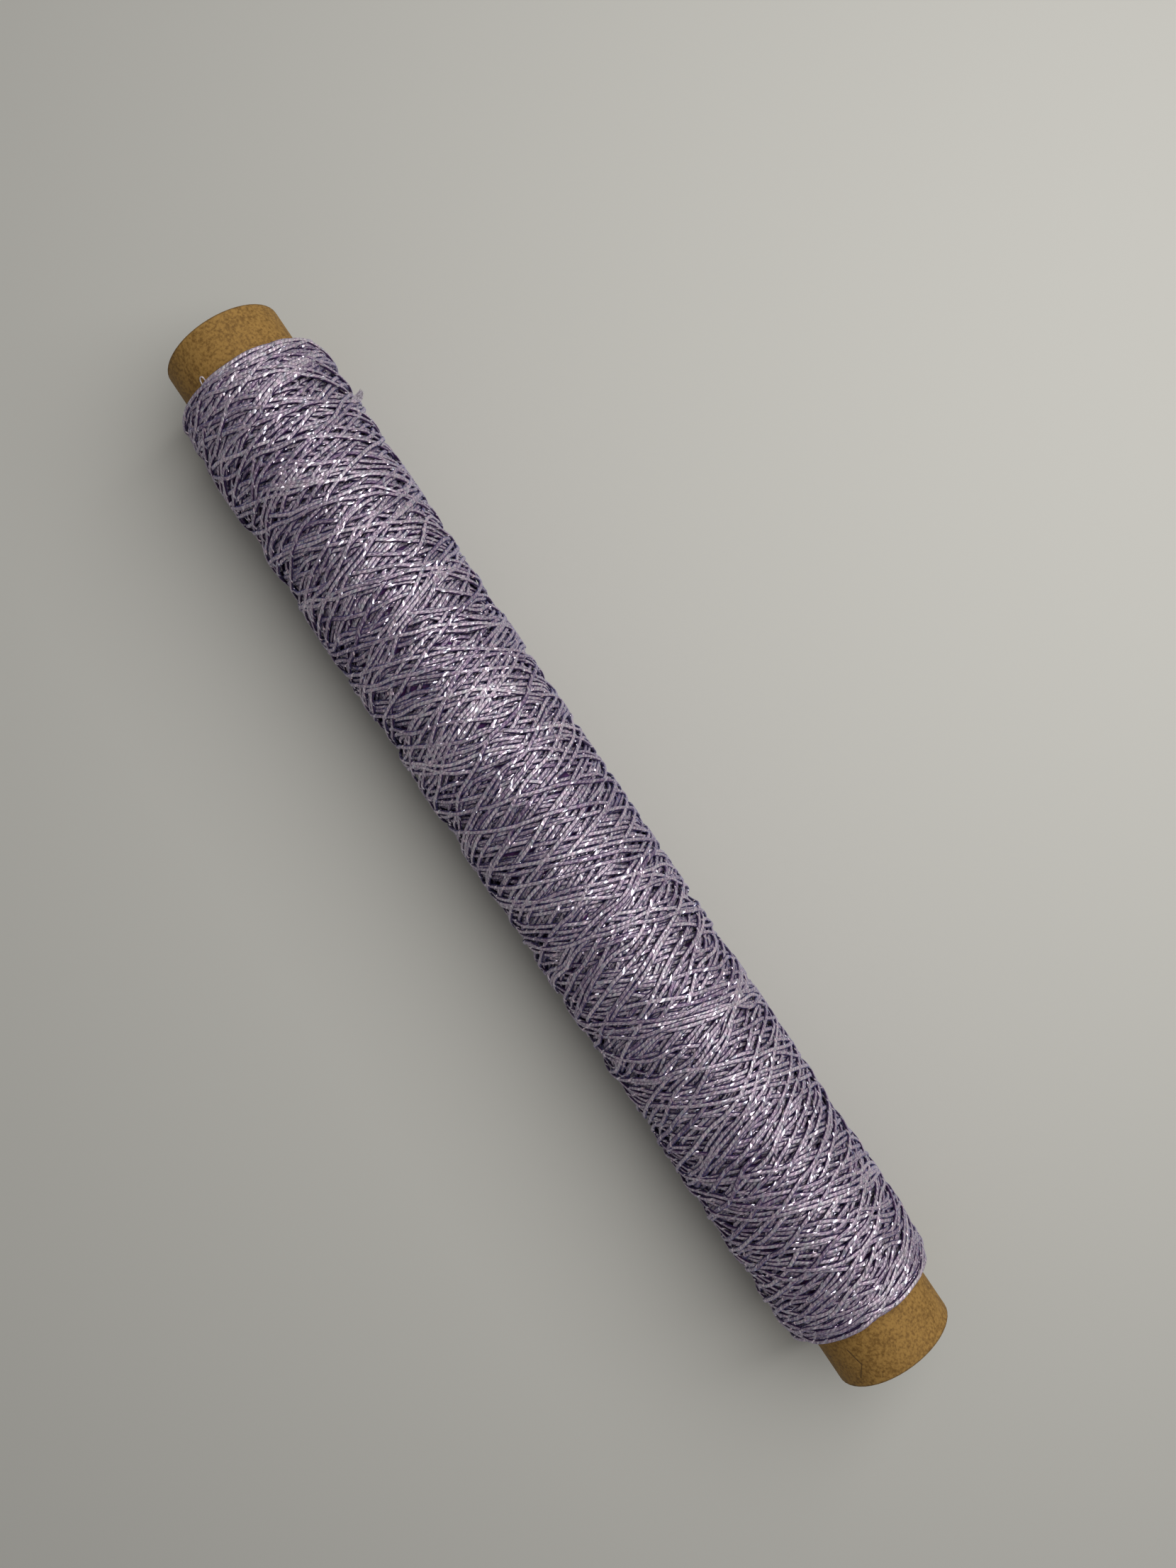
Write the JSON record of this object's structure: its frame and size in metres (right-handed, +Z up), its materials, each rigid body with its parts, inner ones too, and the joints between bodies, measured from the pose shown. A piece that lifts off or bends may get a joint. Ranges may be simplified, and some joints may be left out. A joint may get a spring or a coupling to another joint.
{
  "type": "yarn spool",
  "caption": "Straight paper winding tube with fine metallic yarn cross-wound along its middle, bare at both ends, with a plain through bore and a frayed free end.",
  "frame": {"origin": "middle of the tube's bore, on its axis, halfway along the tube", "axes": "+X along the tube towards its end with the longer bare stretch, +Z up with the package lying on its side"},
  "size_m": [0.19, 0.0284, 0.0268],
  "materials": {
    "tube_board": "grey-brown wound paper board, matt, fibres at the cut ends",
    "tube_cover": "kraft paper, matt, mottled with short fibres",
    "yarn": "fine lilac-grey thread wrapped with silver film that sparkles",
    "yarn_ends": "loose fibres and film of the same thread"
  },
  "bodies": {
    "root": {"tube_inner_ply": "tube_board", "tube_body_ply_1": "tube_board", "tube_body_ply_2": "tube_board", "tube_cover_ply": "tube_cover", "yarn_inner_layers": "yarn", "yarn_outer_turns": "yarn", "yarn_frayed_end": "yarn_ends", "yarn_first_end": "yarn_ends"}
  },
  "joints": []
}
